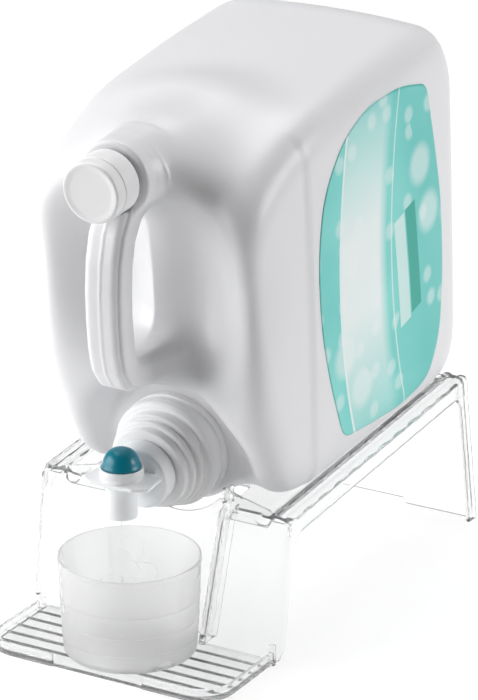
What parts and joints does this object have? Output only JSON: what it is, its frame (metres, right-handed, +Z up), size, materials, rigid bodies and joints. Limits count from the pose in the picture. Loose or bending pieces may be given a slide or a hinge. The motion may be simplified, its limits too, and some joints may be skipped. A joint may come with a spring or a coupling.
{
  "type": "detergent dispenser bottle",
  "caption": "White moulded jug with a push tap and vent cap, lying in a clear cradle over a shelf that holds a frosted dosing cup.",
  "frame": {"origin": "centre of the overall footprint, on the floor", "axes": "+Z up, -Y towards the tap and cup, +X to the right seen from the front"},
  "size_m": [0.18, 0.3395, 0.3546],
  "materials": {
    "jug_white": "satin moulded polyethylene",
    "label_film": "printed film, satin",
    "seal_grey": "foam liner",
    "seal_dark": "matt",
    "closure_white": "satin moulded polypropylene",
    "tap_natural": "natural polypropylene",
    "button_teal": "satin elastomer",
    "spring_steel": "bright wire",
    "cup_frosted": "frosted translucent",
    "clear_plastic": "clear, glossy"
  },
  "bodies": {
    "cradle": {"rail_right": "clear_plastic", "rail_left": "clear_plastic", "deck": "clear_plastic", "bottle_stops": "clear_plastic", "front_panel": "clear_plastic", "rear_panel": "clear_plastic", "shelf_tray": "clear_plastic", "shelf_ribs": "clear_plastic", "shelf_pegs": "clear_plastic"},
    "jug": {"bottle_shell": "jug_white", "label_right": "label_film", "label_left": "label_film", "neck_gasket": "seal_grey", "tap_closure": "closure_white", "tap_body": "tap_natural", "button_spring": "spring_steel"},
    "button": {"push_button": "button_teal", "valve_stem": "tap_natural", "valve_seal": "seal_dark"},
    "vent_carrier": {"vent_liner": "seal_grey"},
    "vent": {"vent_cap": "closure_white"},
    "cup": {"dosing_cup": "cup_frosted"}
  },
  "joints": [
    {"name": "jug_lift", "type": "slide", "parent": "cradle", "child": "jug", "axis": [0, 0, 1], "range_m": [0, 0.15]},
    {"name": "button_press", "type": "slide", "parent": "jug", "child": "button", "axis": [0, 0, -1], "range_m": [0, 0.004], "stiffness_N_per_m": 800, "deforming": ["button_spring"]},
    {"name": "vent_cap_rise", "type": "slide", "parent": "jug", "child": "vent_carrier", "axis": [0, -0.9974, -0.0715], "range_m": [0, 0.006]},
    {"name": "vent_cap_turn", "type": "hinge", "parent": "vent_carrier", "child": "vent", "pos_m": [0, -0.16747, 0.31165], "axis": [0, -0.9974, -0.0715], "range_deg": [0, 540]},
    {"name": "cup_draw", "type": "slide", "parent": "cradle", "child": "cup", "axis": [0, -0.9397, 0.342], "range_m": [0, 0.12]}
  ],
  "couplings": [
    {"joint": "vent_cap_rise", "follows": "vent_cap_turn", "m_per_rad": 0.00063662}
  ]
}
